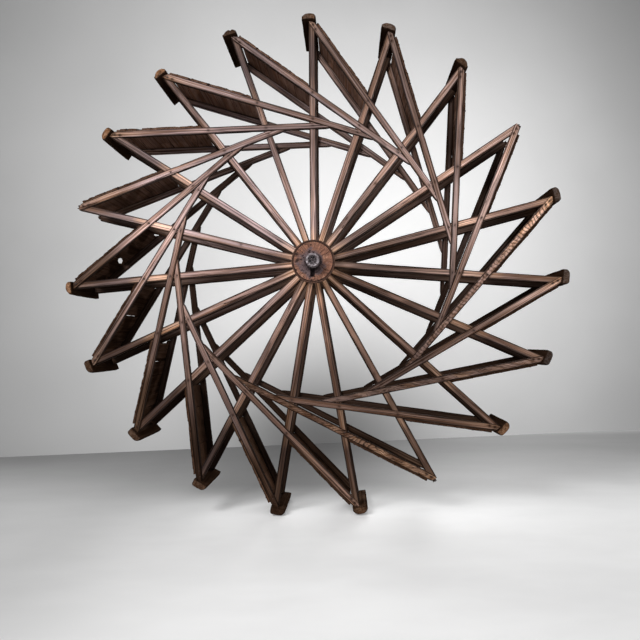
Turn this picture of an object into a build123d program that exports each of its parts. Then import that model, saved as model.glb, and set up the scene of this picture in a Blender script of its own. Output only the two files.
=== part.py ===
# Foot-driven paddle wheel of a field pump, standing on two of its treads.
# A mortised hub carries nineteen spokes a side. From each tip an oblique bar crosses the next
# three spokes, let into each, and ends in a scarf against the bar beside it, so the bars close
# into a ring. A paddle board spans each pair of bars and a tread spans each pair of tips.
# X is to the right, Y runs along the axle and away from the front, and Z is up. The origin is
# on the floor, under the middle of the wheel's box. All lengths are in millimetres.

import os
from math import acos, atan2, cos, degrees, hypot, radians, sin

from build123d import *

os.makedirs("parts", exist_ok=True)

# The whole wheel.
spoke_count = 19
tip_radius = 750.0          # axle to where the middles of a bar and its spoke cross
frame_width = 221.0         # over the outer faces of the front and the rear bars
bar_offset = 426.0          # axle to the middle line of each bar, square to the bar
crossed_spokes = 3          # spokes that each bar crosses after its own

# Spokes.
spoke_width = 21.0
spoke_depth = 22.0
spoke_end = 4.0             # the shoulder of the tip stands this far past tip_radius
tip_tenon_width = 12.0
tip_tenon_depth = 9.0
tip_tenon_length = 12.0
root_tenon_width = 9.6
root_tenon_depth = 15.0
root_tenon_length = 22.0
root_lap = 10.0             # how far a root tenon runs up inside its spoke

# Bars.
bar_width = 20.0
bar_depth = 14.0
bar_stand = 4.0             # how far a bar's face stands out from the spokes' faces
scarf_nose = 2.2            # blunt end left on each scarf

# Paddle boards.
board_thickness = 9.5
board_start = 10.0          # from the tip, along the bar
board_gap = 1.5             # between a board's end and the side of the next spoke
board_inset = 1.0           # board ends short of the bars' outer faces

# Treads.
tread_length = 250.0
tread_width = 46.0
tread_thickness = 23.0
tread_overhang = 33.0       # from the spoke's middle line to the worn edge
tread_wear = 12.0           # radius of the corner worn round by feet
tread_arris = 6.0           # radius of the other outer corner
lost_treads = ("tread_04", "tread_09", "tread_16")

# Hub.
hub_radius = 62.0
hub_stand = 39.5            # how far the hub's ends stand out past the bars' outer faces
hoop_width = 22.0
hoop_thickness = 4.0
wedge_slot_width = 12.0
wedge_slot_depth = 14.0
wedge_slot_inner = 24.0     # distances of the slot's ends from the axle
wedge_slot_outer = 46.0
wedge_slot_turn = 184.0     # clockwise from the top, as seen from the front

# Gudgeons.
journal_radius = 21.0
journal_length = 40.0
journal_chamfer = 1.5
cup_radius = 15.0           # the rusted hollow in the journal's end
cup_depth = 8.0
tang_root = 27.0            # side of the square tang at the journal
tang_point = 17.0
tang_length = 95.0

# Fits.
fit_gap = 0.2               # clearance of a tenon, a shoulder or a scarf

pitch = 360 / spoke_count
standing_tip = spoke_count // 2 + 1       # it and the next tip stand on the floor
square = 90
lean = degrees(acos(bar_offset / tip_radius))
seat_radius = tip_radius + spoke_end
face_y = -frame_width / 2
spoke_near = face_y + bar_stand
spoke_far = spoke_near + spoke_depth
bar_far = face_y + bar_depth
hub_length = frame_width + 2 * hub_stand


def meet(first, second):
    # Corner of two straight edges. An edge is the clockwise angle of its normal from straight
    # up, and its distance from the axle along that normal.
    first_turn, second_turn = radians(first[0]), radians(second[0])
    spread = sin(first_turn - second_turn)
    across = (first[1] * cos(second_turn) - second[1] * cos(first_turn)) / spread
    up = (second[1] * sin(first_turn) - first[1] * sin(second_turn)) / spread
    return (across, up)


def reach(point, turn):
    # How far a point lies from the axle along the direction of an angle.
    return point[0] * sin(radians(turn)) + point[1] * cos(radians(turn))


def slab(outline, near, far):
    # Flat piece with a drawn outline in the plane of the wheel, from y near to y far.
    face = make_face(Polyline(*outline, close=True))
    return extrude(Plane.XZ.offset(-far) * face, amount=far - near)


def block(left, right, near, far, low, high):
    return slab([(left, low), (right, low), (right, high), (left, high)], near, far)


def standing_turn():
    # Turn of the wheel that puts both standing treads on the floor at once. Each touches with
    # one of its round corners, whose centre and radius follow from the tread's sizes.
    outer_radius = seat_radius + tread_thickness
    trailing = (tread_width - tread_overhang - tread_arris, outer_radius - tread_arris, tread_arris)
    leading = (tread_wear - tread_overhang, outer_radius - tread_wear, tread_wear)
    rises = []
    swings = []
    for tip, corner in ((standing_tip, trailing), (standing_tip + 1, leading)):
        spread = hypot(corner[0], corner[1])
        turn = radians((tip - 1) * pitch) + atan2(corner[0], corner[1])
        rises.append(spread * cos(turn))
        swings.append(spread * sin(turn))
    rise = rises[0] - rises[1]
    swing = swings[0] - swings[1]
    drop = trailing[2] - leading[2]
    return degrees(acos(drop / hypot(rise, swing)) - atan2(swing, rise))


stand_turn = standing_turn()


def at_tip(piece, tip):
    # A piece drawn at the top of the wheel, turned to a numbered tip. Tips count clockwise.
    return Rot(0, (tip - 1) * pitch + stand_turn, 0) * piece


def to_rear(piece):
    return mirror(piece, about=Plane.XZ)


outer_edge = (lean, bar_offset + bar_width / 2)
inner_edge = (lean, bar_offset - bar_width / 2)
tip_shoulder = (0, seat_radius)


def bar():
    # Bar of the top tip. Its tip end is cut to the spoke's side and to the tread's seat, and
    # its inner end is cut along the inner edge of the next bar.
    scarf = (lean + pitch, inner_edge[1] - fit_gap)
    nose_corner = meet(scarf, (lean, inner_edge[1] + scarf_nose))
    nose = (lean + square, reach(nose_corner, lean + square))
    spoke_side = (-square, spoke_width / 2)
    outline = [
        meet(outer_edge, tip_shoulder),
        meet(spoke_side, tip_shoulder),
        meet(spoke_side, inner_edge),
        meet(inner_edge, nose),
        nose_corner,
        meet(outer_edge, scarf),
    ]
    return slab(outline, face_y, bar_far)


def groove():
    # Room for one bar across the spokes that it is let into, as long as the bar.
    start = (lean + square, reach(meet(inner_edge, tip_shoulder), lean + square))
    finish = (lean + square, -start[1])
    outline = [
        meet(outer_edge, start),
        meet(inner_edge, start),
        meet(inner_edge, finish),
        meet(outer_edge, finish),
    ]
    return slab(outline, face_y, bar_far)


def spoke():
    # Spoke of the top tip, before it is grooved. Near the hub its sides are cut back so that
    # it clears the spokes beside it, and it seats on the hub round a tenon.
    half = spoke_width / 2
    blade = block(-half, half, spoke_near, spoke_far, root_tenon_length, seat_radius)
    left = (-pitch / 2 + square, -fit_gap)
    right = (pitch / 2 - square, -fit_gap)
    top = (0, 2 * seat_radius)
    wedge = slab([meet(left, right), meet(left, top), meet(right, top)], spoke_near, spoke_far)
    hub_room = Rot(square, 0, 0) * Cylinder(hub_radius + fit_gap, hub_length)
    shaped = (blade & wedge) - hub_room
    middle = (spoke_near + spoke_far) / 2
    root = block(
        -root_tenon_width / 2, root_tenon_width / 2,
        middle - root_tenon_depth / 2, middle + root_tenon_depth / 2,
        hub_radius - root_tenon_length, hub_radius + root_lap,
    )
    lap_middle = (bar_far + spoke_far) / 2
    tip = block(
        -tip_tenon_width / 2, tip_tenon_width / 2,
        lap_middle - tip_tenon_depth / 2, lap_middle + tip_tenon_depth / 2,
        seat_radius - spoke_end, seat_radius + tip_tenon_length,
    )
    return shaped + root + tip


def grooved_spoke():
    piece = spoke() - bar()
    for step in range(1, crossed_spokes + 1):
        piece -= Rot(0, -step * pitch, 0) * groove()
    return piece


def paddle_board():
    start_reach = -tip_radius * sin(radians(lean)) + board_start
    start = (lean + square, start_reach)
    finish = (pitch - square, spoke_width / 2 + board_gap)
    outer_face = (lean, outer_edge[1] + board_thickness)
    outline = [
        meet(outer_edge, start),
        meet(outer_face, start),
        meet(outer_face, finish),
        meet(outer_edge, finish),
    ]
    return slab(outline, face_y + board_inset, -face_y - board_inset)


def tread():
    # Block across the two tips, mortised for their tenons.
    body = block(
        -tread_overhang, tread_width - tread_overhang,
        -tread_length / 2, tread_length / 2,
        seat_radius, seat_radius + tread_thickness,
    )
    outer_edges = body.edges().filter_by(Axis.Y).sort_by(Axis.Z)[-2:].sort_by(Axis.X)
    body = fillet(outer_edges[0], tread_wear)
    outer_edges = body.edges().filter_by(Axis.Y).sort_by(Axis.X)[-2:].sort_by(Axis.Z)
    body = fillet(outer_edges[-1], tread_arris)
    half_width = tip_tenon_width / 2 + fit_gap
    half_depth = tip_tenon_depth / 2 + fit_gap
    lap_middle = (bar_far + spoke_far) / 2
    mortise = block(
        -half_width, half_width,
        lap_middle - half_depth, lap_middle + half_depth,
        seat_radius - fit_gap, seat_radius + tip_tenon_length + fit_gap,
    )
    return body - mortise - to_rear(mortise)


def hoop():
    inner = hub_radius + fit_gap
    ring = Cylinder(inner + hoop_thickness, hoop_width) - Cylinder(inner, hoop_width)
    return Pos(0, -(hub_length - hoop_width) / 2, 0) * Rot(square, 0, 0) * ring


def gudgeon():
    # Front gudgeon: a round journal outside the hub and a square, tapered tang inside it.
    end_face = -hub_length / 2
    plane = Plane.XZ.offset(-end_face)
    journal = extrude(plane * Circle(journal_radius), amount=journal_length)
    rim = journal.faces().sort_by(Axis.Y)[0].edges()
    journal = chamfer(rim, journal_chamfer)
    cup_plane = Plane.XZ.offset(-end_face + journal_length - cup_depth)
    journal -= extrude(cup_plane * Circle(cup_radius), amount=cup_depth)
    point_plane = Plane.XZ.offset(-end_face - tang_length)
    tang = loft([plane * Rectangle(tang_root, tang_root), point_plane * Rectangle(tang_point, tang_point)])
    return journal + tang


def hub():
    body = Rot(square, 0, 0) * Cylinder(hub_radius, hub_length)
    body = body - gudgeon() - to_rear(gudgeon())
    half_width = root_tenon_width / 2 + fit_gap
    half_depth = root_tenon_depth / 2 + fit_gap
    middle = (spoke_near + spoke_far) / 2
    mortise = block(
        -half_width, half_width,
        middle - half_depth, middle + half_depth,
        hub_radius - root_tenon_length - fit_gap, hub_radius + root_lap,
    )
    mortises = []
    for tip in range(1, spoke_count + 1):
        mortises.append(at_tip(mortise, tip))
        mortises.append(at_tip(to_rear(mortise), tip))
    slot = block(
        -wedge_slot_width / 2, wedge_slot_width / 2,
        -hub_length / 2, -hub_length / 2 + wedge_slot_depth,
        wedge_slot_inner, wedge_slot_outer,
    )
    mortises.append(Rot(0, wedge_slot_turn, 0) * slot)
    return body - mortises


def build_nodes():
    tips = range(1, spoke_count + 1)
    front_spokes = [at_tip(grooved_spoke(), tip) for tip in tips]
    front_bars = [at_tip(bar(), tip) for tip in tips]
    nodes = {
        "hub": [hub()],
        "front_hub_hoop": [hoop()],
        "rear_hub_hoop": [to_rear(hoop())],
        "front_gudgeon": [gudgeon()],
        "rear_gudgeon": [to_rear(gudgeon())],
        "front_spokes": front_spokes,
        "rear_spokes": [to_rear(piece) for piece in front_spokes],
        "front_paddle_bars": front_bars,
        "rear_paddle_bars": [to_rear(piece) for piece in front_bars],
    }
    for tip in tips:
        nodes[f"paddle_{tip:02d}"] = [at_tip(paddle_board(), tip)]
    for tip in tips:
        name = f"tread_{tip:02d}"
        if name not in lost_treads:
            nodes[name] = [at_tip(tread(), tip)]
    return nodes


nodes = build_nodes()
box = Compound([solid for pieces in nodes.values() for piece in pieces for solid in piece.solids()]).bounding_box()
lift = Pos(-box.center().X, 0, -box.min.Z)
print("axle at x", round(-box.center().X, 3), "and z", round(-box.min.Z, 3), "turn", round(stand_turn, 4))
for name, pieces in nodes.items():
    placed = [lift * solid for piece in pieces for solid in piece.solids()]
    export_step(placed[0] if len(placed) == 1 else Compound(placed), f"parts/{name}.step")
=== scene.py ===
import math
import bpy
import numpy as np
from mathutils import Matrix, Vector


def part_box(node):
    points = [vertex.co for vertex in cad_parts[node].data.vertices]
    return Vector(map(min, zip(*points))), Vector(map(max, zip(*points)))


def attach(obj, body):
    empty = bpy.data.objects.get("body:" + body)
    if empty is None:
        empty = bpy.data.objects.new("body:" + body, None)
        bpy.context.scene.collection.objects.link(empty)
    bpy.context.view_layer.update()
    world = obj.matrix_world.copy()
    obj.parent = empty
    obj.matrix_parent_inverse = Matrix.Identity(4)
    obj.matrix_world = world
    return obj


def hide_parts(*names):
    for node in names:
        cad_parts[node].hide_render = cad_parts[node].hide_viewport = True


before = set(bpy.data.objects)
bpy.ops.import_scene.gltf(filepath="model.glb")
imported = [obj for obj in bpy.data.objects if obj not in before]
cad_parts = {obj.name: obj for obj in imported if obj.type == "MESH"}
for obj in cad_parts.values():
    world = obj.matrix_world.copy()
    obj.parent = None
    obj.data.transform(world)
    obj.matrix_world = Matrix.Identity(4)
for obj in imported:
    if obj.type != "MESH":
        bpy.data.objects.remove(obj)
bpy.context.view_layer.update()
print("frame loaded")

# Lengths are in metres. Tips count clockwise from the top, as seen from the front.
wheel = {
    "tips": 19,
    "tipRadius": 0.750,  # axle to where a bar and its spoke cross
    "barOffset": 0.426,  # axle to the bars' middle lines
    "seat": 0.754,  # axle to the shoulders of the spokes
    "spokeWidth": 0.021,
    "standTurn": math.radians(0.6072),
}
hubLow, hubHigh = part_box("hub")
hubRadius = (hubHigh.z - hubLow.z) / 2
hubHalf = (hubHigh.y - hubLow.y) / 2  # middle plane to the hub's faces
axle = (hubLow + hubHigh) / 2
pitch = 2 * math.pi / wheel["tips"]
lean = math.acos(wheel["barOffset"] / wheel["tipRadius"])  # of a bar, off the square to its spoke
allTips = range(1, wheel["tips"] + 1)
treadTips = [tip for tip in allTips if f"tread_{tip:02d}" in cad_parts]
faceDepth = -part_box("front_paddle_bars")[0].y  # middle plane to the bars' outer faces
spokeDepth = -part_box("front_spokes")[0].y

front, rear = -1, 1
bothSides = ((front, "front"), (rear, "rear"))


def tipTurn(tip):
    return (tip - 1) * pitch + wheel["standTurn"]


def stacked(*columns):
    # Arrays that broadcast together, side by side in a new last axis.
    return np.stack(np.broadcast_arrays(*columns), axis=-1)


def inWheel(across, up, depth, turn):
    # A point drawn at the top of the wheel, turned clockwise about the axle:
    # x = across cos(turn) + up sin(turn), y = depth, z = up cos(turn) - across sin(turn).
    x = axle.x + across * math.cos(turn) + up * math.sin(turn)
    z = axle.z + up * math.cos(turn) - across * math.sin(turn)
    return stacked(x, depth, z)


def onBar(along, outward):
    # Place in the wheel of a point on the top tip's bar: tip + along (cos lean, -sin lean)
    # + outward (sin lean, cos lean).
    across = along * math.cos(lean) + outward * math.sin(lean)
    up = wheel["tipRadius"] - along * math.sin(lean) + outward * math.cos(lean)
    return across, up


def crossing(step):
    # Distance along a bar to the spoke that is `step` tips on.
    return wheel["tipRadius"] * math.sin(step * pitch) / math.cos(lean - step * pitch)


def ripples(seed, length, *coords):
    # Smooth noise: nine plane waves in seeded directions, each 0.6 to 1.6 lengths long, added up
    # and held between -1 and 1.
    rng = np.random.default_rng(seed)
    total = 0.0
    for _ in range(9):
        direction = rng.normal(size=len(coords))
        direction /= np.linalg.norm(direction)
        wave = 2 * math.pi / (length * rng.uniform(0.6, 1.6))
        travelled = sum(d * c for d, c in zip(direction, coords))
        total = total + np.sin(wave * travelled + rng.uniform(0, 2 * math.pi))
    return np.clip(total / 3.2, -1, 1)


def ramp(x, low, high):
    # 0 below low, 1 above high, and a smooth step between.
    t = np.clip((x - low) / (high - low), 0, 1)
    return t * t * (3 - 2 * t)


def hump(x, low, high, edge):
    # 1 between low and high, falling to 0 over `edge` outside them.
    return ramp(x, low - edge, low) * (1 - ramp(x, high, high + edge))


# Mesh making. A part is a closed skin of rings, joined by quads and shut at both ends.

def onceRound(count):
    # Even angles from 0 to just short of a full turn.
    return np.linspace(0, 2 * math.pi, count, endpoint=False)


def roundedLoop(facePoints, sidePoints, cornerPoints):
    # Loop round a rectangle with rounded corners, as columns p, q, nx, ny. A point stands at
    # p (width / 2 - radius) + nx radius across and q (height / 2 - radius) + ny radius up.
    # Point i and point n - 1 - i face each other across q.
    half = sidePoints // 2
    rise = (np.arange(half) + 0.5) / (half + 0.5)
    left = [(-1, q, -1, 0) for q in rise]
    corner = [(-1, 1, math.cos(a), math.sin(a)) for a in np.linspace(math.pi, math.pi / 2, cornerPoints)]
    top = [(p, 1, 0, 1) for p in np.linspace(-1, 1, facePoints + 2)[1:-1]]
    quarter = np.array(left + corner + top)
    mirrored = np.array(left + corner)[::-1] * (-1, 1, -1, 1)
    upper = np.vstack([quarter, mirrored])
    lower = upper[::-1] * (1, -1, 1, -1)
    return np.vstack([upper, lower]).T


def ringQuads(rings, points):
    # Quads from each ring to the next: point j joins j + 1, and the last joins the first.
    i, j = np.meshgrid(np.arange(rings - 1), np.arange(points), indexing="ij")
    k = (j + 1) % points
    corners = [i * points + j, i * points + k, (i + 1) * points + k, (i + 1) * points + j]
    return np.stack(corners, -1).reshape(-1, 4)


def stripEnds(rings, points):
    # Quads that shut both ends by joining each point to the one that faces it.
    i = np.arange(points // 2 - 1)
    first = np.stack([i + 1, i, points - 1 - i, points - 2 - i], -1)
    last = first[:, ::-1] + (rings - 1) * points
    return np.vstack([first, last])


def volumeOf(verts, faces):
    # A sixth of the sum of a . (b x c) over the triangles: above 0 where faces point outwards.
    total = 0.0
    for k in range(1, faces.shape[1] - 1):
        a, b, c = verts[faces[:, 0]], verts[faces[:, k]], verts[faces[:, k + 1]]
        total += np.einsum("ij,ij->", a, np.cross(b, c))
    return total / 6


def carried(points, marks, poles=False):
    # A part from an array of rings (ring, point, xyz) and its marks, a dictionary of arrays of
    # the same layout. With poles, the first and last rings shut in one point each.
    m, n = points.shape[:2]
    verts = points.reshape(-1, 3)
    marks = {key: np.broadcast_to(value, (m, n, 3)).reshape(-1, 3) for key, value in marks.items()}
    quads = ringQuads(m, n)
    tris = np.zeros((0, 3), int)
    if poles:
        j = np.arange(n)
        k = (j + 1) % n
        tris = np.vstack([
            np.stack([k, j, np.full(n, m * n)], -1),
            np.stack([j + (m - 1) * n, k + (m - 1) * n, np.full(n, m * n + 1)], -1),
        ])
        verts = np.vstack([verts, points[0].mean(0), points[-1].mean(0)])
        for key, value in marks.items():
            marks[key] = np.vstack([value, value[:n].mean(0), value[-n:].mean(0)])
    else:
        quads = np.vstack([quads, stripEnds(m, n)])
    if volumeOf(verts - verts.mean(0), quads) < 0:
        quads, tris = quads[:, ::-1], tris[:, ::-1]
    return {"verts": verts, "quads": quads, "tris": tris, "marks": marks}


def addObject(name, data):
    thing = bpy.data.objects.new(name, data)
    bpy.context.scene.collection.objects.link(thing)
    return thing


def joined(name, parts, material, nodes=(), sharp=40):
    # One object from several parts, riding on the wheel.
    count, quads, tris = 0, [], []
    for part in parts:
        quads.append(part["quads"] + count)
        tris.append(part["tris"] + count)
        count += len(part["verts"])
    verts, quads, tris = np.vstack([p["verts"] for p in parts]), np.vstack(quads), np.vstack(tris)
    mesh = bpy.data.meshes.new(name)
    mesh.vertices.add(len(verts))
    mesh.vertices.foreach_set("co", verts.astype(np.float32).ravel())
    mesh.loops.add(quads.size + tris.size)
    mesh.loops.foreach_set("vertex_index", np.concatenate([quads.ravel(), tris.ravel()]).astype(np.int32))
    mesh.polygons.add(len(quads) + len(tris))
    starts = np.concatenate([np.arange(len(quads)) * 4, quads.size + np.arange(len(tris)) * 3])
    mesh.polygons.foreach_set("loop_start", starts.astype(np.int32))
    mesh.update(calc_edges=True)
    mesh.validate()
    for key in parts[0]["marks"]:
        values = np.vstack([p["marks"][key] for p in parts]).astype(np.float32)
        mesh.attributes.new(key, "FLOAT_VECTOR", "POINT").data.foreach_set("vector", values.ravel())
    mesh.polygons.foreach_set("use_smooth", np.ones(len(mesh.polygons), bool))
    mesh.set_sharp_from_angle(angle=math.radians(sharp))
    mesh.materials.append(material)
    piece = addObject(name, mesh)
    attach(piece, "root")
    if nodes:
        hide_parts(*nodes)
    print(f"{name}: {2 * len(quads) + len(tris)} triangles")


# Materials.

def addNode(tree, kind, inputs=None, **settings):
    node = tree.nodes.new("ShaderNode" + kind)
    for key, value in settings.items():
        setattr(node, key, value)
    for key, value in (inputs or {}).items():
        if isinstance(value, bpy.types.NodeSocket):
            tree.links.new(value, node.inputs[key])
        else:
            node.inputs[key].default_value = value
    return node


def calc(tree, operation, a, b=0.0, c=0.0):
    return addNode(tree, "Math", {0: a, 1: b, 2: c}, operation=operation).outputs[0]


def times(tree, first, *others):
    # The product of all the values.
    for value in others:
        first = calc(tree, "MULTIPLY", first, value)
    return first


def less(tree, amount, depth):
    # 1 - amount x depth
    return calc(tree, "SUBTRACT", 1.0, calc(tree, "MULTIPLY", amount, depth))


def swing(tree, value, width):
    # (value - 0.5) x width
    return calc(tree, "MULTIPLY", calc(tree, "SUBTRACT", value, 0.5), width)


def paint(color):
    # A colour of three values gets its fourth, and a socket stays as it is.
    return color if isinstance(color, bpy.types.NodeSocket) else color + (1,)


def blendColor(tree, amount, a, b, kind="MIX"):
    inputs = {0: amount, 6: paint(a), 7: paint(b)}
    return addNode(tree, "Mix", inputs, data_type="RGBA", blend_type=kind).outputs[2]


def span(tree, value, low, high, newLow=0.0, newHigh=1.0):
    # A smooth step: newLow up to low, and newHigh from high on.
    inputs = {0: value, 1: low, 2: high, 3: newLow, 4: newHigh}
    return addNode(tree, "MapRange", inputs, interpolation_type="SMOOTHSTEP").outputs[0]


def noiseOf(tree, vector, scale, detail=3.0, rough=0.5):
    # Noise on a vector that is stretched by three scales.
    stretched = addNode(tree, "VectorMath", {0: vector, 1: scale}, operation="MULTIPLY").outputs[0]
    inputs = {"Vector": stretched, "Scale": 1.0, "Detail": detail, "Roughness": rough}
    return addNode(tree, "TexNoise", inputs).outputs[0]


def readMark(tree, name):
    return addNode(tree, "Attribute", attribute_name=name).outputs["Vector"]


def threeParts(tree, vector):
    return addNode(tree, "SeparateXYZ", {0: vector}).outputs


def startMaterial(name):
    material = bpy.data.materials.new(name)
    material.use_nodes = True
    tree = material.node_tree
    tree.nodes.clear()
    shader = addNode(tree, "BsdfPrincipled")
    output = addNode(tree, "OutputMaterial", {0: shader.outputs[0]})
    return material, tree, shader, output


def dress(tree, shader, color, rough, height, gloss, bump=0.8, reach=0.0008):
    # Colour, roughness, gloss, and bumps as strong as `bump` and as high as `reach`.
    bumps = addNode(tree, "Bump", {"Strength": bump, "Distance": reach, "Height": height})
    tree.links.new(color, shader.inputs["Base Color"])
    tree.links.new(rough, shader.inputs["Roughness"])
    tree.links.new(bumps.outputs[0], shader.inputs["Normal"])
    shader.inputs["Specular IOR Level"].default_value = gloss


def oldWood(name, s):
    # Solid wood. The mark "grain" gives a point's place in its log, with z up the trunk, so
    # growth rings are the fractions of the distance from the pith over the ring width. The mark
    # of patina and shade gives tan, dark and damp, the mark "wear" gives edge, stain and figure,
    # and the mark of weather and light gives tone and silver. Dark is grime with painted shade on
    # sides and undersides, damp is damp wood with painted shade towards the bottom, edge is
    # painted shade along the arrises of bars and spokes and darker ends on boards and treads, and
    # tone is weathering with painted light and shade by place.
    material, tree, shader, _ = startMaterial(name)
    grain = readMark(tree, "grain")
    tan, dark, damp = threeParts(tree, readMark(tree, "patinaAndShade"))
    edge, stain, figure = threeParts(tree, readMark(tree, "wear"))
    tone, silver, _ = threeParts(tree, readMark(tree, "weatherAndLight"))
    wobble = swing(tree, noiseOf(tree, grain, (38, 38, 5), 2.0), s["ringWobble"])
    flat = addNode(tree, "VectorMath", {0: grain, 1: (1, 1, 0)}, operation="MULTIPLY").outputs[0]
    fromPith = addNode(tree, "VectorMath", {0: flat}, operation="LENGTH").outputs["Value"]
    rings = calc(tree, "DIVIDE", calc(tree, "ADD", fromPith, wobble), s["ringWidth"])
    ring = calc(tree, "FRACT", rings)
    lateWood = times(tree, span(tree, ring, 0.35, 0.82), span(tree, ring, 0.99, 0.86))
    ringDepth = calc(tree, "MULTIPLY_ADD", figure, s["figureDepth"], s["ringDepth"])
    streaks = noiseOf(tree, grain, (140, 140, 2.4), 3.0, 0.62)
    fibres = noiseOf(tree, grain, (900, 900, 22), 3.0, 0.6)
    clouds = noiseOf(tree, grain, (16, 16, 6), 2.0)
    sootLines = span(tree, noiseOf(tree, grain, (260, 260, 2.2), 2.0, 0.55), 0.44, 0.34)
    crackLine = calc(tree, "ABSOLUTE", swing(tree, noiseOf(tree, grain, (210, 210, 1.6), 1.0), 1.0))
    crack = times(tree, span(tree, crackLine, 0.014, 0.004), span(tree, clouds, 0.42, 0.55))
    tanShare = times(tree, tan, span(tree, noiseOf(tree, grain, (60, 60, 4)), 0.3, 0.62, 0.25, 1.0))
    color = blendColor(tree, silver, s["dry"], s["silver"])
    # Damp wood, with painted shade towards the bottom.
    color = blendColor(tree, damp, color, s["damp"])
    color = blendColor(tree, tanShare, color, s["tan"])
    color = blendColor(tree, span(tree, streaks, 0.58, 0.34), color, s["streak"], "MULTIPLY")
    # Painted shade along the arrises, and painted light and shade by place in the tone.
    shade = times(
        tree, span(tree, streaks, 0.3, 0.7, s["streakLow"], s["streakHigh"]),
        span(tree, fibres, 0.3, 0.7, s["fibreLow"], s["fibreHigh"]),
        span(tree, clouds, 0.3, 0.7, 0.82, 1.15), less(tree, sootLines, s["sootDepth"]),
        less(tree, lateWood, ringDepth), less(tree, edge, s["edgeDark"]), tone)
    tint = addNode(tree, "VectorMath", {0: color, "Scale": shade}, operation="SCALE").outputs[0]
    # Grime, with painted shade on the sides and undersides.
    color = blendColor(tree, times(tree, dark, span(tree, streaks, 0.2, 0.8, 1.08, 0.9)), tint, s["grime"])
    color = blendColor(tree, stain, color, s["ironStain"])
    color = blendColor(tree, crack, color, s["crack"])
    height = calc(tree, "MULTIPLY_ADD", lateWood, 0.35, calc(tree, "MULTIPLY", fibres, 0.5))
    height = calc(tree, "MULTIPLY_ADD", streaks, 0.6, height)
    height = calc(tree, "MULTIPLY_ADD", crack, -1.6, height)
    rough = span(tree, streaks, 0.2, 0.8, s["rough"] + 0.08, s["rough"] - 0.08)
    dress(tree, shader, color, rough, height, s["gloss"], s["bump"], s["bumpReach"])
    return material


def woodLooks(**changes):
    # The wood's usual look, with what one kind of piece changes.
    looks = {
        # The damp colour also serves as painted shade towards the bottom, and the grime colour as painted
        # shade on the sides and undersides.
        "dry": (0.40, 0.284, 0.262), "silver": (0.40, 0.296, 0.296), "damp": (0.205, 0.118, 0.083),
        "tan": (0.70, 0.425, 0.270), "streak": (1.0, 0.84, 0.68), "grime": (0.0200, 0.0104, 0.0064),
        "ironStain": (0.020, 0.009, 0.005), "crack": (0.018, 0.010, 0.007),
        "ringWidth": 0.0042, "ringWobble": 0.010, "ringDepth": 0.42, "figureDepth": 0.34,
        "streakLow": 0.58, "streakHigh": 1.28, "fibreLow": 0.82, "fibreHigh": 1.12,
        "sootDepth": 0.65, "edgeDark": 0.95, "bump": 0.8, "bumpReach": 0.0006, "rough": 0.80, "gloss": 0.03,
    }
    looks.update(changes)
    return looks


barWood = oldWood("barWood", woodLooks())
spokeWood = oldWood("spokeWood", woodLooks(dry=(0.40, 0.280, 0.250), damp=(0.212, 0.126, 0.096)))
boardWood = oldWood("boardWood", woodLooks(
    dry=(0.100, 0.059, 0.045), silver=(0.100, 0.060, 0.048), damp=(0.070, 0.040, 0.027),
    tan=(0.20, 0.115, 0.072), grime=(0.0230, 0.0110, 0.0058), streakLow=0.84, streakHigh=1.08,
    sootDepth=0.4, ringWidth=0.0050, ringDepth=0.12, bump=1.0, rough=0.86, gloss=0.0))
treadWood = oldWood("treadWood", woodLooks(
    dry=(0.150, 0.098, 0.074), silver=(0.140, 0.112, 0.104), damp=(0.105, 0.063, 0.043),
    tan=(0.38, 0.205, 0.115), grime=(0.0200, 0.0098, 0.0056), ringWidth=0.0030, ringDepth=0.5,
    bump=1.0, rough=0.86, gloss=0.0))


def rustyIron(name, s):
    # Rusted iron: crust and bare metal parted by noise on the object's own coordinates, and
    # blackened where the mark "hollow" is 1.
    material, tree, shader, _ = startMaterial(name)
    place = addNode(tree, "TexCoord").outputs["Object"]
    hollow = threeParts(tree, readMark(tree, "hollow"))[0]
    crust = noiseOf(tree, place, (160, 160, 160), 5.0, 0.62)
    pits = noiseOf(tree, place, (620, 620, 620), 3.0, 0.6)
    rust = span(tree, crust, 0.42, 0.62)
    color = blendColor(tree, rust, s["metal"], s["rust"])
    color = blendColor(tree, span(tree, pits, 0.5, 0.32), color, s["pit"])
    color = blendColor(tree, times(tree, hollow, span(tree, crust, 0.46, 0.55, 1.0, 0.0)), color, s["pit"])
    dull = calc(tree, "MAXIMUM", rust, hollow)
    tree.links.new(span(tree, dull, 0.1, 0.9, s["metallic"], 0.0), shader.inputs["Metallic"])
    rough = span(tree, dull, 0.0, 1.0, s["smooth"], 0.85)
    height = calc(tree, "MULTIPLY_ADD", pits, 0.5, crust)
    dress(tree, shader, color, rough, height, s["gloss"])
    return material


pinIron = rustyIron("pinIron", {
    "metal": (0.32, 0.285, 0.302), "rust": (0.135, 0.106, 0.112), "pit": (0.006, 0.004, 0.005),
    "smooth": 0.45, "metallic": 0.5, "gloss": 0.5,
})
hoopIron = rustyIron("hoopIron", {
    "metal": (0.080, 0.047, 0.036), "rust": (0.150, 0.074, 0.050), "pit": (0.010, 0.007, 0.006),
    "smooth": 0.7, "metallic": 0.0, "gloss": 0.05,
})
nailIron = rustyIron("nailIron", {
    "metal": (0.045, 0.034, 0.032), "rust": (0.050, 0.024, 0.016), "pit": (0.010, 0.007, 0.006),
    "smooth": 0.55, "metallic": 0.3, "gloss": 0.2,
})
print("materials made")


def dampness(tip, reach, rng):
    # 0 for the dry, pale wood at the top and 1 for the damp, brown wood at the bottom, taken
    # where the piece lies: at `reach` (0 to 1) out from the axle towards a tip. The darkening
    # towards the bottom is partly damp wood and partly painted shade, for light that falls off
    # from the upper left.
    toBottom = math.cos(tipTurn(tip) - math.radians(165)) * reach
    return float(np.clip(0.5 + 0.6 * toBottom + rng.normal(0, 0.12), 0, 1))


def upperSide(tip):
    # 1 at the top of the wheel and 0 at the bottom.
    return 0.5 + 0.5 * math.cos(tipTurn(tip))
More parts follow.
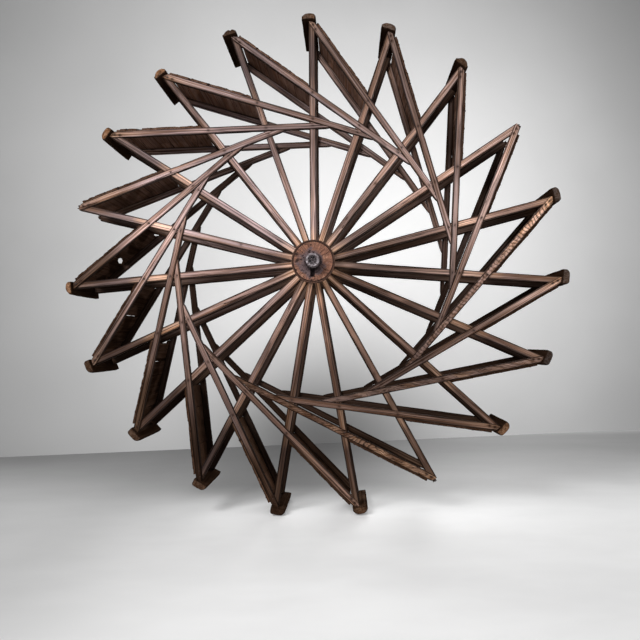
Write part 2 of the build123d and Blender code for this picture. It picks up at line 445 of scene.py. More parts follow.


# Weathering with painted light and shade by place, as soft patches: clock angle in degrees,
# distance from the axle, size, and how much lighter or darker, as a power of e.
toneAndLightPatches = (
    # lighter: bleached wood and painted light
    (75, 0.56, 0.22, 0.70), (283, 0.50, 0.20, 0.85), (350, 0.15, 0.14, 0.50), (190, 0.12, 0.12, 0.42),
    # darker: damp, soot and painted shade
    (210, 0.66, 0.24, -1.10), (255, 0.72, 0.14, -0.80), (145, 0.46, 0.20, -0.65),
    (10, 0.68, 0.22, -0.40), (85, 0.20, 0.16, -0.70),
    # single spokes near the hub and at the lower left
    (304, 0.13, 0.04, -0.40), (228, 0.36, 0.05, -0.60), (171, 0.12, 0.03, 0.60), (209, 0.12, 0.03, 0.45),
)


def toneAndLightByPlace(points, shift):
    # Tone: e to `shift` plus the sum of amount exp(-(distance / size)^2) over the patches, which is
    # weathering with painted light and shade by place. The second value is silver: 1 at the left and
    # 0 at the right.
    x, z = points[..., 0] - axle.x, points[..., 2] - axle.z
    total = shift
    for clock, out, size, amount in toneAndLightPatches:
        middleX, middleZ = out * math.sin(math.radians(clock)), out * math.cos(math.radians(clock))
        total = total + amount * np.exp(-((x - middleX) ** 2 + (z - middleZ) ** 2) / size ** 2)
    return stacked(np.exp(total), ramp(-x, -0.25, 0.25), 0.0)


def logPlace(x, y, z, seed, pithLow=0.03, pithHigh=0.09, runOut=0.010, tilt=0.0, swirl=0.0):
    # Where a piece was in its log: turned about its length by a seeded angle, set off from the
    # pith, and leaning by a seeded run-out, or by a given tilt where the figure is strong.
    rng = np.random.default_rng(seed)
    a = rng.uniform(0, 2 * math.pi)
    slope = tilt if tilt else rng.normal(0, runOut)
    px = x * math.cos(a) - y * math.sin(a) + rng.uniform(pithLow, pithHigh) + slope * z
    py = x * math.sin(a) + y * math.cos(a) + rng.normal(0, 0.012) + swirl * z
    return stacked(px, py, z + rng.uniform(0, 40))


def patinaAndShade(tan, dark, damp):
    return stacked(np.clip(tan, 0, 1), np.clip(dark, 0, 1), damp)


def arris(p, ny):
    # 1 along the edges of the broad faces, and 0 within them; it darkens them as painted shade.
    return ramp(np.abs(p), 0.66, 1.0) * (np.abs(ny) > 0.5)


# Oblique bars.
barSettings = {
    "width": 0.020, "depth": 0.014, "scarfGap": 0.0002, "scarfNose": 0.0022,
    "stations": {front: 84, rear: 60}, "nailSteps": (-0.0058, -0.0029, 0.0, 0.0029, 0.0058), "seed": 1000,
    # Worn skin: corner radius, depth and length of the undulation, where bruises may lie, and
    # the deepest of them.
    "corner": 0.0016, "undulation": (0.00035, 0.07), "bruised": (0.0, 0.66), "deepest": 0.0014,
    # Curly figure: slope of the rings to the bar, and how far from the tip it is strong.
    "figured": {5: (0.34, 0.19), 7: (0.36, 0.60), 9: (-0.40, 0.34)},
    "tanTips": {
        1: 0.45, 5: 0.95, 6: 0.75, 8: 0.7, 9: 0.95, 13: 0.6, 14: 0.6, 15: 0.35, 16: 0.9, 17: 0.7, 18: 0.75,
    },
    "tipNails": ((0.0080, -0.0010), (0.0240, -0.0030)), "nailStain": 0.0042,
    # Lighter or darker bars: shade by the tip and further in, as powers of e.
    "tones": {
        1: (-0.15, 0.12), 2: (-0.45, -0.15), 3: (0.2, -0.3), 4: (0.4, -0.1), 5: (0.4, 0.15),
        6: (0.4, -0.1), 8: (0.0, 0.2), 10: (0.3, 0.3), 11: (-0.75, 0.35), 12: (-0.65, 0.1),
        13: (-0.9, -0.1), 15: (-0.75, 0.15), 16: (-0.3, 0.15), 19: (-0.2, 0.12),
    },
}
barMiddle = faceDepth - barSettings["depth"] / 2  # middle plane to the bars' middles


def barStart(outward):
    # The tip end is cut to the tread's seat and to the far side of the spoke.
    seatLine = (outward * math.cos(lean) - (wheel["seat"] - wheel["tipRadius"])) / math.sin(lean)
    sideLine = (-wheel["spokeWidth"] / 2 - outward * math.sin(lean)) / math.cos(lean)
    return np.maximum(seatLine, sideLine)


def barFinish(outward, s):
    # The inner end is a scarf along the inner edge of the next bar, with a blunt nose.
    def scarf(n):
        limit = wheel["barOffset"] - s["width"] / 2 - s["scarfGap"]
        start = wheel["tipRadius"] * math.cos(lean + pitch)
        return (limit - start - n * math.cos(pitch)) / math.sin(pitch)
    return np.minimum(scarf(outward), scarf(s["scarfNose"] - s["width"] / 2))


def wornSkin(seed, rng, place, p, q, s):
    # Radius of the arrises, and how far the skin is drawn in: a slow wave, and seven bruises of
    # depth exp(-((place - where) / wide)^2), each on one of the four arrises.
    corner = s["corner"] * (1 + 0.5 * ripples(seed, 0.12, place, 0.03 * p + 0.05 * q))
    bruise = np.zeros_like(place)
    for _ in range(7):
        where, wide = rng.uniform(*s["bruised"]), rng.uniform(0.003, 0.012)
        hit = (p * rng.choice((-1, 1)) > 0.95) & (q * rng.choice((-1, 1)) > 0.95)
        bruise += hit * rng.uniform(0.0004, s["deepest"]) * np.exp(-((place - where) / wide) ** 2)
    depth, length = s["undulation"]
    wave = depth * (1 + ripples(seed + 1, length, place, 0.05 * p, 0.05 * q)) / 2
    return corner, wave + bruise


def nailStains(along, outward, nails, size):
    # Round stains of the nails, and a split in the wood that runs from the tip past two of them.
    total = 0.5 * np.exp(-((outward + 0.0015 + 0.06 * along) / 0.0018) ** 2) * (1 - ramp(along, 0.026, 0.046))
    for place, side in nails:
        total = total + np.exp(-((along - place) ** 2 + (outward - side) ** 2) / size ** 2)
    return np.clip(total, 0, 0.95)


def barNails(s):
    rows = [(crossing(step), 0.0) for step in (1, 2, 3)]
    return rows + list(s["tipNails"])


def barStations(side, s):
    # Even steps along a bar, with closer ones at the nails of a front bar.
    even = np.linspace(0, 1, s["stations"][side])
    if side == rear:
        return even
    low, high = float(barStart(0.0)), float(barFinish(0.0, s))
    close = [(place + step - low) / (high - low) for place, _ in barNails(s) for step in s["nailSteps"]]
    return np.sort(np.concatenate([even, close]))


def makeBar(tip, side, s):
    # Profile carried along the bar: along = start + t (finish - start), each end following its
    # cut, and the skin drawn in by worn corners, shallow undulation and bruises.
    seed = s["seed"] + 10 * tip + side
    rng = np.random.default_rng(seed)
    p, q, nx, ny = roundedLoop(8, 4, 4)
    t = barStations(side, s)[:, None]
    rough = s["width"] / 2 * p
    along = barStart(rough) + t * (barFinish(rough, s) - barStart(rough))
    corner, drawIn = wornSkin(seed, rng, along, p, q, s)
    endWear = 0.0012 * (np.exp(-t / 0.006) + np.exp(-(1 - t) / 0.006))
    outward = p * (s["width"] / 2 - corner) + nx * (corner - drawIn) - p * endWear
    raised = q * (s["depth"] / 2 - corner) + ny * (corner - drawIn) - q * endWear
    across, up = onBar(along, outward)
    slope, strong = s["figured"].get(tip, (0.0, 0.0)) if side == front else (0.0, 0.0)
    figure = 0.35 + 0.65 * (1 - ramp(along, strong - 0.10, strong + 0.10))
    figure = figure * ramp(along, 0.01, 0.05) * (slope != 0)
    wave = 0.0030 * ripples(seed + 3, 0.060, along) + 0.0016 * ripples(seed + 4, 0.022, along, outward)
    swirl = 0.05 * (slope != 0)
    grain = logPlace(outward + figure * wave, raised, along, seed, tilt=slope, swirl=swirl)
    nearTip = np.exp(-np.clip(along, 0, 1) / 0.10)
    tan = s["tanTips"].get(tip, 0.2 if side == front else 0.3) * nearTip
    tan = tan + 0.10 * ripples(seed + 2, 0.2, along)
    tan = tan + 0.40 * (figure - 0.25) * (figure > 0) * ramp(ripples(seed + 5, 0.11, along), -0.2, 0.5)
    outer = ramp(ny, 0.2, 0.9)
    towardsHub = ramp(-nx, 0.3, 0.9)
    # Dark sides and inner face are grime and painted shade. Rear bars get painted light towards the top and a
    # little towards the lower right.
    cleanerAndLit = 0.16 * ramp(-ny, 0.3, 0.9)
    if side == rear:
        lit = 0.9 * ramp(math.cos(tipTurn(tip) - math.radians(340)), 0.35, 0.95)
        lit = lit + 0.2 * ramp(math.cos(tipTurn(tip) - math.radians(150)), 0.5, 1.0)
        cleanerAndLit = (0.08 + lit) * (ramp(-ny, 0.3, 0.9) + 0.8 * towardsHub)
    dark = 1 - outer - cleanerAndLit
    edge = arris(p, ny)
    stain = nailStains(along, outward, barNails(s), s["nailStain"]) * outer
    placed = inWheel(across, up, side * (barMiddle + raised), tipTurn(tip))
    nearTone, farTone = s["tones"].get(tip, (0.0, 0.0)) if side == front else (0.0, 0.0)
    tone = nearTone + (farTone - nearTone) * ramp(along, 0.10, 0.24)
    damp = np.clip(dampness(tip, 0.75, rng) - 0.5 * tone, 0, 1)
    marks = {
        "grain": grain,
        "patinaAndShade": patinaAndShade(tan, dark, damp),
        "wear": stacked(edge, stain, figure),
        "weatherAndLight": toneAndLightByPlace(placed, tone - 0.05),
    }
    return carried(placed, marks)


for side, word in bothSides:
    parts = [makeBar(tip, side, barSettings) for tip in allTips]
    joined(word + "PaddleBars", parts, barWood, [word + "_paddle_bars"])


# Spokes.
spokeSettings = {
    "width": wheel["spokeWidth"], "depth": 0.022, "stations": {front: 82, rear: 56}, "gap": 0.0002,
    # Worn skin, as on the bars.
    "corner": 0.0017, "undulation": (0.0004, 0.08), "bruised": (0.08, 0.74), "deepest": 0.0015,
    # Bare tenon: width, thickness and length, and its distance behind the bars' faces.
    "nub": (0.012, 0.009, 0.012), "nubBehind": 0.020, "nubSeed": 3500,
    "knots": {3: (0.31,), 9: (0.39,), 16: (0.235,)}, "seed": 3000,
    # Lighter or darker outer halves, as powers of e.
    "tones": {
        1: -0.3, 2: 0.4, 3: 0.5, 4: 0.55, 10: -0.3, 11: -0.5, 12: 0.3, 13: 0.2, 14: 0.2, 17: -0.15, 19: -0.35,
    },
}


def makeSpoke(tip, side, s):
    # Profile carried outwards: up = root + t (seat - root). Near the hub it narrows to the
    # wedge up tan(pitch / 2) that it shares with the spokes beside it.
    seed = s["seed"] + 10 * tip + side
    rng = np.random.default_rng(seed)
    p, q, nx, ny = roundedLoop(8, 6, 4)
    t = np.linspace(0, 1, s["stations"][side])[:, None]
    root = hubRadius + s["gap"]
    up = root + t * (wheel["seat"] - root) + 0 * p
    wedge = up * math.tan(pitch / 2) - s["gap"]
    half = np.minimum(s["width"] / 2, wedge)
    corner, drawIn = wornSkin(seed, rng, up, p, q, s)
    across = p * (half - corner) + nx * (corner - drawIn)
    raised = q * (s["depth"] / 2 - corner) + ny * (corner - drawIn)
    depth = side * (spokeDepth - s["depth"] / 2 + raised)
    grain = logPlace(across, raised, up, seed)
    outerBar, middleBar = [wheel["barOffset"] / math.cos(lean - step * pitch) for step in (1, 2)]
    between = hump(up, middleBar + 0.004, outerBar + 0.03, 0.03)
    upperLeft = max(0.0, math.cos(tipTurn(tip) - 5.1)) ** 1.2
    lowerRight = max(0.0, math.cos(tipTurn(tip) - 2.7))
    tan = (0.12 + 0.65 * upperLeft * rng.uniform(0.7, 1.0) + 0.35 * lowerRight) * between
    nearHub = np.exp(-((up - root) / 0.045) ** 2)
    tan = tan + rng.uniform(0.3, 0.75) * nearHub
    tan = tan + rng.uniform(0.3, 0.8) * np.exp(-(wheel["seat"] - up) / 0.04)
    tan = tan + 0.12 * ripples(seed + 2, 0.2, up)
    outer = ramp(ny, 0.2, 0.9)
    # Dark sides and inner face: grime and painted shade.
    dark = 0.95 * (1 - outer) - 0.14 * ramp(-ny, 0.3, 0.9)
    edge = arris(p, ny)
    stain = np.zeros_like(up)
    for knot in s["knots"].get(tip, ()) if side == front else ():
        spot = ((up - knot) / 0.005) ** 2 + ((across - 0.003) / 0.006) ** 2
        stain = stain + 0.8 * np.exp(-spot) * outer
    placed = inWheel(across, up, depth, tipTurn(tip))
    tone = s["tones"].get(tip, 0.0) * ramp(up, 0.22, 0.38) * (side == front)
    # Painted shade on the outer parts of the spokes, which lie behind the bars; less on the right.
    shadedBehindBars = ramp(up, 0.48, 0.60) * (0.62 - 0.30 * math.cos(tipTurn(tip) - math.radians(80)))
    marks = {
        "grain": grain,
        "patinaAndShade": patinaAndShade(tan, dark, dampness(tip, 0.6, rng)),
        "wear": stacked(edge, stain, 0.0),
        "weatherAndLight": toneAndLightByPlace(placed, 0.16 - shadedBehindBars + 0.28 * nearHub + tone),
    }
    return carried(placed, marks)


def makeNub(tip, side, s):
    # Tenon left standing on a tip that has lost its tread, with a broken top.
    wide, thick, long = s["nub"]
    seed = s["nubSeed"] + 10 * tip + side
    p, q, nx, ny = roundedLoop(4, 4, 3)
    t = np.linspace(0, 1, 8)[:, None]
    across = p * (wide / 2 - 0.001) + nx * 0.001
    raised = q * (thick / 2 - 0.001) + ny * 0.001
    broken = 0.0025 * (1 + ripples(seed, 0.004, across, raised))
    up = wheel["seat"] - 0.002 + t * (long + 0.002 - broken)
    depth = side * (faceDepth - s["nubBehind"] + raised)
    marks = {
        "grain": logPlace(across, raised, up, seed),
        "patinaAndShade": stacked(0.0, 0.95, 0.5),
        "wear": stacked(0.0, 0.0, 0.0),
        "weatherAndLight": stacked(1.0, 0.0, 0.0),
    }
    return carried(inWheel(across, up, depth, tipTurn(tip)), marks)


for side, word in bothSides:
    parts = [makeSpoke(tip, side, spokeSettings) for tip in allTips]
    parts += [makeNub(tip, side, spokeSettings) for tip in allTips if tip not in treadTips]
    joined(word + "Spokes", parts, spokeWood, [word + "_spokes"])


# Paddle boards: planks laid from front to rear, side by side along the bars.
boardSettings = {
    # Where the first plank starts along its bar, from the tip.
    "start": 0.0145,
    "starts": {1: 0.0115, 3: 0.0102, 4: 0.021, 16: 0.0102, 17: 0.0102, 18: 0.0102, 19: 0.0106},
    "barWidth": barSettings["width"], "thickness": 0.0095, "inset": 0.001, "endGap": 0.0008,
    # The next line also holds how strong the painted light on the undersides near the top is.
    "seamGap": 0.0003, "corner": 0.0012, "across": 32, "stations": 20, "litUndersides": 3.2, "nailStain": 0.006,
    "seams": {
        13: (0.162, 0.208), 14: (0.084, 0.167), 15: (0.132, 0.203), 17: (0.146, 0.238), 18: (0.108, 0.226),
    },
    "seamSlant": {17: -0.14},
    # Opened seams: place along the bar, low and high depth, and width.
    "slits": {
        13: ((0.208, -0.030, 0.038, 0.0034), (0.162, -0.016, 0.004, 0.0026)),
        14: ((0.167, -0.030, 0.074, 0.0042),),
    },
    # Knot rotted out at a seam: place along the bar, depth, half width and half length.
    "knotHoles": {15: (0.132, 0.052, 0.0090, 0.042)}, "knotSkew": -0.22,
    # Piece broken off the last plank beside the spoke: depth, half width, and how far back.
    "brokenEnds": {13: (0.004, 0.080, 0.0105), 15: (0.080, 0.020, 0.0074)},
    "lengthwise": (10, 11, 12),  # paddles with the grain along their bars
    # Undersides with less black on them, and undersides made paler: painted light.
    "browner": {
        1: 0.55, 2: 0.34, 3: 0.30, 10: 0.34, 11: 0.55, 12: 0.62, 16: 0.30, 17: 0.50, 18: 0.62, 19: 0.62,
    },
    "paler": {2: 0.3, 3: 0.9, 8: 2.4, 9: 2.2, 10: 0.9, 11: 2.4, 12: 1.0, 13: 2.7, 14: 2.2, 15: 1.0},
    # Pieces broken out of the planks' front ends: place, width, and how far back.
    "bites": {
        15: ((0.021, 0.007, 0.010), (0.1210, 0.006, 0.012), (0.1375, 0.005, 0.012), (0.262, 0.006, 0.009)),
        16: ((0.022, 0.006, 0.009), (0.0465, 0.005, 0.009), (0.088, 0.010, 0.006), (0.131, 0.008, 0.010)),
        17: ((0.0145, 0.008, 0.012), (0.040, 0.006, 0.007), (0.077, 0.009, 0.019), (0.118, 0.012, 0.006)),
        18: ((0.079, 0.008, 0.011), (0.139, 0.006, 0.010), (0.200, 0.016, 0.005), (0.258, 0.008, 0.011)),
    },
    "seeds": {"bites": 5000, "seams": 5100, "faces": 5200, "edges": 5300, "planks": 5400},
}


def boardFinish(outward, s):
    # The last plank ends square off the side of the next spoke.
    room = wheel["tipRadius"] * math.sin(pitch) - wheel["spokeWidth"] / 2 - s["endGap"]
    return (room - outward * math.sin(lean - pitch)) / math.cos(lean - pitch)


def boardStart(tip, s):
    return s["starts"].get(tip, s["start"])


def boardBites(tip, s, side):
    if side == front and tip in s["bites"]:
        return s["bites"][tip]
    rng = np.random.default_rng(s["seeds"]["bites"] + 10 * tip + side)
    return [
        (rng.uniform(0.02, 0.27), rng.uniform(0.005, 0.016), rng.uniform(0.003, 0.0075)) for _ in range(3)
    ]


def boardThinning(along, depth, tip, s):
    # Wear of the outer face: a broad hollow, and ends at front and rear that are worn thin in
    # a few long steps.
    seed = s["seeds"]["faces"] + tip
    reach = faceDepth - s["inset"]
    ends = np.exp(-(reach - np.abs(depth)) / 0.012)
    steps = ramp(ripples(seed, 0.080, along, 0.3 * np.sign(depth)), 0.10, 0.15)
    chips = ramp(ripples(seed + 2, 0.036, along, 0.3 * np.sign(depth)), 0.68, 0.74)
    broad = 0.5 + 0.5 * ripples(seed + 1, 0.09, along, depth * 0.4)
    return 0.0009 * broad + ends * (0.0026 + 0.0009 * steps + 0.0012 * chips)


def plankEdge(seam, depth, tip, s):
    # Middle line of a seam, which wanders and may slant.
    slant = s["seamSlant"].get(tip, 0.0)
    place, middle, _, length = s["knotHoles"].get(tip, (0.0, 0.0, 0.0, 0.0))
    skew = s["knotSkew"] * np.clip(depth - middle, -length, length) * (seam == place)
    wander = 0.0006 * ripples(s["seeds"]["edges"] + tip, 0.09, depth, seam)
    return seam + slant * (depth - 0.03) + skew + wander


def makePlank(tip, index, seams, s):
    # Profile carried from front to rear. Across the plank, along = low edge + (p + 1) / 2 times
    # the width, and both edges follow their seams.
    seed = s["seeds"]["planks"] + 10 * tip + index
    rng = np.random.default_rng(seed)
    p, q, nx, ny = roundedLoop(s["across"], 2, 3)
    t = np.linspace(0, 1, s["stations"])
    t = (0.5 - 0.5 * np.cos(math.pi * t)) * 0.55 + 0.45 * t
    thick = s["thickness"]
    inner = s["barWidth"] / 2
    reach = faceDepth - s["inset"]
    holePlace, holeDepth, holeWidth, holeLength = s["knotHoles"].get(tip, (0.0, 0.0, 0.0, 1.0))
    if holeWidth:
        around = holeDepth + 1.01 * holeLength * np.cos(np.linspace(0, math.pi, 15))
        t = np.sort(np.concatenate([t, 0.5 + around / (2 * reach)]))
    t = t[:, None]
    last = index == len(seams)
    lowSeam = seams[index - 1] if index else boardStart(tip, s)
    highSeam = boardFinish(inner + thick / 2, s) if last else seams[index]
    flat = lowSeam + (p + 1) / 2 * (highSeam - lowSeam)
    ends = []
    for side in (front, rear):
        back = 0.0006 * (1 + ripples(seed + side, 0.040, flat))
        back = back + 0.00015 * (1 + ripples(seed + side + 3, 0.011, flat))
        for place, wide, far in boardBites(tip, s, side):
            back = np.maximum(back, far * hump(flat, place - wide / 2, place + wide / 2, 0.0014))
        ends.append(side * (reach - back))
    depth = ends[0] + t * (ends[1] - ends[0])
    gap = s["seamGap"] / 2
    low = (plankEdge(lowSeam, depth, tip, s) if index else lowSeam) + gap
    high = (highSeam if last else plankEdge(highSeam, depth, tip, s)) - gap
    for place, near, far, wide in s["slits"].get(tip, ()):
        opened = wide / 2 * hump(depth, near, far, 0.012)
        if index and place == lowSeam:
            low = low + opened
        if not last and place == highSeam:
            high = high - opened
    knot = holeWidth * np.sqrt(np.maximum(0, 1 - ((depth - holeDepth) / holeLength) ** 2))
    if index and holePlace == lowSeam:
        low = low + knot * (1 + 0.15 * ripples(seed, 0.02, depth))
    if not last and holePlace == highSeam:
        high = high - 0.9 * knot
    if last and tip in s["brokenEnds"]:
        middle, half, far = s["brokenEnds"][tip]
        high = high - far * hump(depth, middle - half, middle + half, 0.012)
    corner = s["corner"]
    along = (low + high) / 2 + p * ((high - low) / 2 - corner) + nx * corner
    thin = boardThinning(along, depth, tip, s)
    under = 0.0003 * (1 + ripples(seed + 5, 0.03, along, depth * 0.5))
    raised = thick / 2 + q * (thick / 2 - corner) + ny * corner
    outward = inner + under + raised / thick * (thick - thin - under)
    if last:
        slope = math.tan(lean - pitch)
        along = along - slope * (outward - inner - thick / 2) * ramp(p, 0.8, 1.0)
    across, up = onBar(along, outward)
    lengthwise = tip in s["lengthwise"]
    sideways, trunk = (depth, along) if lengthwise else (along, depth)
    grain = logPlace(sideways, outward, trunk, seed, pithLow=0.015, pithHigh=0.06)
    endGrain = np.clip(1 - (reach - np.abs(depth)) / 0.004, 0, 1)
    underSheen = 0.22 * ramp(ripples(seed + 7, 0.07, along, depth * 0.5), -0.1, 0.5)
    underSheen = underSheen + s["browner"].get(tip, 0.0)
    # Dark undersides: grime and painted shade.
    dark = 0.62 + (0.36 - underSheen) * ramp(-ny, 0.0, 0.8) - 0.3 * ramp(ny, 0.3, 0.9)
    tan = 0.35 * ramp(ny, 0.3, 0.9) * (0.5 + 0.5 * ripples(seed + 6, 0.05, along, depth * 0.3))
    tan = tan + (0.06 + 0.16 * upperSide(tip)) * endGrain * ramp(ripples(seed + 8, 0.020, along), 0.1, 0.6)
    # Paler undersides: painted light, strongest near the top and given per paddle.
    pale = s["litUndersides"] * max(0.0, math.cos(tipTurn(tip) - math.radians(325))) + s["paler"].get(tip, 0.0)
    stain = 0.0
    for k in (-1, 1):
        row = (low + high) / 2 + k * (high - low) / 4
        for side in (front, rear):
            where = (along - row) ** 2 + (depth - side * barMiddle) ** 2
            stain = stain + 0.7 * np.exp(-where / s["nailStain"] ** 2) * ramp(ny, 0.3, 0.9)
    marks = {
        "grain": grain,
        "patinaAndShade": patinaAndShade(tan, dark, dampness(tip, 0.9, rng)),
        "wear": stacked(0.5 * endGrain, np.clip(stain, 0, 1), 0.0),
        "weatherAndLight": stacked(1 + pale * ramp(-ny, 0.0, 0.8), 0.0, 0.0),
    }
    return carried(inWheel(across, up, depth, tipTurn(tip)), marks)


def boardSeams(tip, s):
    if tip in s["seams"]:
        return s["seams"][tip]
    rng = np.random.default_rng(s["seeds"]["seams"] + tip)
    return (rng.uniform(0.085, 0.12), rng.uniform(0.18, 0.215))


for tip in allTips:
    seams = boardSeams(tip, boardSettings)
    parts = [makePlank(tip, index, seams, boardSettings) for index in range(len(seams) + 1)]
    joined(f"paddle{tip:02d}", parts, boardWood, [f"paddle_{tip:02d}"], sharp=50)


# Treads.
treadSettings = {
    "width": 0.046, "thickness": 0.023, "length": 0.250, "overhang": 0.033,
    "corners": (0.0024, 0.0020, 0.0060, 0.0120),  # under the overhang, under the lead, top lead, worn top
    "footWear": 0.0026, "stations": 38, "seed": 7000,
    "leadCorner": {3: 0.0130, 10: 0.0150, 11: 0.0085, 18: 0.0080},
    "wornCorner": {3: 0.0180, 10: 0.0150}, "domed": {3: 0.0090, 10: 0.0030},
    "narrower": {1: 0.002, 14: 0.004, 15: 0.006, 17: 0.003, 18: 0.002},
    "sunk": {
        1: 0.0035, 2: 0.0035, 3: 0.0010, 10: 0.0, 11: 0.0, 14: 0.002, 15: 0.0045, 17: 0.0035, 18: 0.0045,
        19: 0.0045,
    },
    "pointed": {3: 0.0020, 18: 0.0035, 19: 0.0030},  # ends worn to a point: how far their corners sink
    "broken": {19: 0.0045},  # how far an end is broken down
    # Rings that shut an end: share of the full section, and how far in each lies.
    "endShare": (0.12, 0.40, 0.68, 0.88, 0.955, 0.985),
    "endInset": (0.0006, 0.0005, 0.0003, 0.0, 0.0006, 0.0015),
    "bodyEnd": 0.0026,  # how far inside the ends the full section stops
    # Colour of the worn ends: tan, grey and dark.
    "tanEnds": {
        1: 0.15, 3: 0.35, 5: 0.1, 6: 0.0, 7: 0.0, 8: 0.45, 10: 0.3, 11: 0.0, 15: 1.0, 17: 1.0, 18: 0.85,
        19: 0.2,
    },
    "greyEnds": {2: 0.4, 5: 1.0, 6: 0.7, 7: 1.0, 19: 0.5},
    "darkEnds": {
        1: 0.0, 2: -0.1, 3: 0.55, 5: 0.25, 6: 0.15, 7: 0.62, 10: 0.30, 11: 0.82, 13: 0.3, 14: 0.5, 19: 0.72,
    },
    "paleSides": {10: 0.62, 11: 0.30, 12: 0.25, 13: 0.15},  # brown sides that the floor lights
}


def makeTread(tip, s):
    # Profile carried from front to rear and shut by shrinking rings, so that the ends are
    # rounded over and a little hollow. Corner radii are blended between the four corners.
    seed = s["seed"] + tip
    rng = np.random.default_rng(seed)
    p, q, nx, ny = roundedLoop(8, 6, 6)
    under, underLead, lead, worn = s["corners"]
    worn = s["wornCorner"].get(tip, worn * rng.uniform(1.0, 1.25))
    lead = s["leadCorner"].get(tip, lead * rng.uniform(1.0, 1.5))
    lower = (1 - q) * ((1 - p) * under + (1 + p) * underLead)
    upper = (1 + q) * ((1 - p) * worn + (1 + p) * lead)
    radius = (lower + upper) / 4
    half = s["length"] / 2
    body = half * np.sin(np.linspace(-1, 1, s["stations"]) * math.pi / 2) * 0.35
    body = body + 0.65 * half * np.linspace(-1, 1, s["stations"])
    body = body * (1 - s["bodyEnd"] / half)
    shrink, inset = np.array(s["endShare"]), np.array(s["endInset"])
    place = np.concatenate([-half + inset, body, (half - inset)[::-1]])[:, None]
    scale = np.concatenate([shrink, np.ones(s["stations"]), shrink[::-1]])[:, None]
    wide, high = s["width"], s["thickness"]
    foot = s["footWear"] * rng.uniform(0.5, 1.2) * hump(place, -0.062, 0.062, 0.045) * ramp(ny, 0.2, 1.0)
    foot = foot * (0.6 + 0.4 * ramp(-p, -0.8, 0.6))
    drawIn = 0.0006 * (1 + ripples(seed, 0.035, place, 0.03 * p, 0.03 * q)) / 2 + foot
    drawIn = drawIn + 0.0012 * ramp(np.abs(place), half - 0.016, half) ** 2
    across = (p * (wide / 2 - radius) + nx * radius - nx * drawIn) * scale
    raised = (q * (high / 2 - radius) + ny * radius - ny * drawIn) * scale
    fromMiddle = across / (wide / 2)
    sunk = s["sunk"].get(tip, 0.0012) * (0.75 + 1.6 * fromMiddle ** 2 - 0.25 * fromMiddle)
    sunk = sunk + s["pointed"].get(tip, 0.0) * fromMiddle ** 2
    nick = np.exp(-((across / wide - 0.14) / 0.07) ** 2) + 0.35 * (1 - ramp(across / wide, -0.3, 0.2))
    broken = s["broken"].get(tip, 0.0) * nick * ramp(np.abs(place), 0.080, 0.118)
    domed = s["domed"].get(tip, 0.0) * fromMiddle ** 2
    lowered = sunk * ramp(np.abs(place), 0.035, 0.110) + broken + domed
    raised = raised - lowered * ramp(raised, -0.2 * high, 0.45 * high)
    narrower = s["narrower"].get(tip, 0.0)
    across = across * (1 - narrower / wide) + narrower / 2
    dent = np.maximum(0, 0.0010 * ripples(seed + 3, 0.012, across, raised)) * (scale < 0.97)
    depth = place - np.sign(place) * dent
    x = wide / 2 - s["overhang"] + across
    up = wheel["seat"] + high / 2 + raised
    grain = logPlace(across, raised, depth, seed, pithLow=0.004, pithHigh=0.028)
    ending = ramp(np.abs(place), half - 0.004, half - 0.001) + 0 * p
    tan = s["tanEnds"].get(tip, 0.12) * ending + 0.12 * ripples(seed + 4, 0.05, place, across)
    # Dark sides: grime and painted shade; paler where the floor lights them.
    sides = (0.95 - 0.5 * ramp(ny, 0.3, 0.95)) * (1 - s["paleSides"].get(tip, 0.0))
    endDark = s["darkEnds"].get(tip, 0.0)
    dark = (1 - ending) * sides + ending * (endDark + (1 - endDark) * 0.35 * ramp(scale, 0.8, 1.0))
    edge = 0.7 * ending * (scale > 0.9)
    grey = s["greyEnds"].get(tip, 0.0) * ending
    damp = dampness(tip, 1.0, rng) * (1 - grey)
    marks = {
        "grain": grain,
        "patinaAndShade": patinaAndShade(tan, dark, damp),
        "wear": stacked(edge, 0.0, 0.3),
        "weatherAndLight": stacked(1.0, grey, 0.0),
    }
    return carried(inWheel(x, up, depth, tipTurn(tip)), marks, poles=True)


for tip in treadTips:
    parts = [makeTread(tip, treadSettings)]
    joined(f"tread{tip:02d}", parts, treadWood, [f"tread_{tip:02d}"])


# Hub: rings about the axle, from the middle of the front face round the barrel to the rear.
hubSettings = {
    "around": 300, "innerRings": (0.012, 0.0195), "faceStart": 0.021, "faceRings": 34, "bendRings": 4,
    "barrelRings": 26, "rounding": 0.0022, "seed": 8001,
    # Face cracks: how many, how deep, and between which radii they start and end.
    "cracks": 11, "crackDepth": 0.0030, "crackStart": (0.020, 0.040), "crackEnd": (0.046, 0.060),
    # Wedge slot: half width, low and high distance from the axle, and depth.
    "slot": (0.006, 0.024, 0.046, 0.014), "slotTurn": math.radians(184),
}


